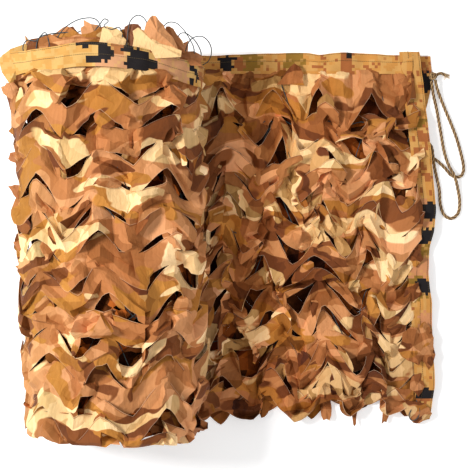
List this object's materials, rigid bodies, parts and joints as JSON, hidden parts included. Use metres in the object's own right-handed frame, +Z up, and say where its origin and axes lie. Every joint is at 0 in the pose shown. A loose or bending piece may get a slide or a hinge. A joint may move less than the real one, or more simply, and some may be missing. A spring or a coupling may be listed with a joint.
{
  "type": "camouflage shade net",
  "caption": "Desert camouflage net of cut-leaf cloth, folded in half along its length and partly rolled, its loose end lying flat, with taped edges and a rope tie at one corner.",
  "frame": {"origin": "on the floor under the middle of the whole part, on the underside of the loose end's lower layer", "axes": "+X from the roll towards the loose end, +Y towards the back edge with the tape and the rope, +Z up from the floor"},
  "size_m": [0.9501, 0.8296, 0.2762],
  "materials": {
    "camouflage_cloth": "thin woven polyester printed in cream, tan and brown",
    "pixel_tape": "stiff woven binding tape printed in small square patches",
    "hemp_rope": "three-strand twisted natural fibre, matt",
    "net_twine": "thin waxed twine"
  },
  "bodies": {
    "root": {"net_roll": "camouflage_cloth", "net_flap": "camouflage_cloth", "tape_back": "pixel_tape", "tape_end": "pixel_tape", "tape_under": "pixel_tape", "tape_roll": "pixel_tape", "rope_tie": "hemp_rope", "rope_knot": "hemp_rope", "rope_end": "hemp_rope", "twine_loop_1": "net_twine", "twine_loop_2": "net_twine", "twine_loop_3": "net_twine", "twine_loop_4": "net_twine", "twine_loop_5": "net_twine"}
  },
  "joints": []
}
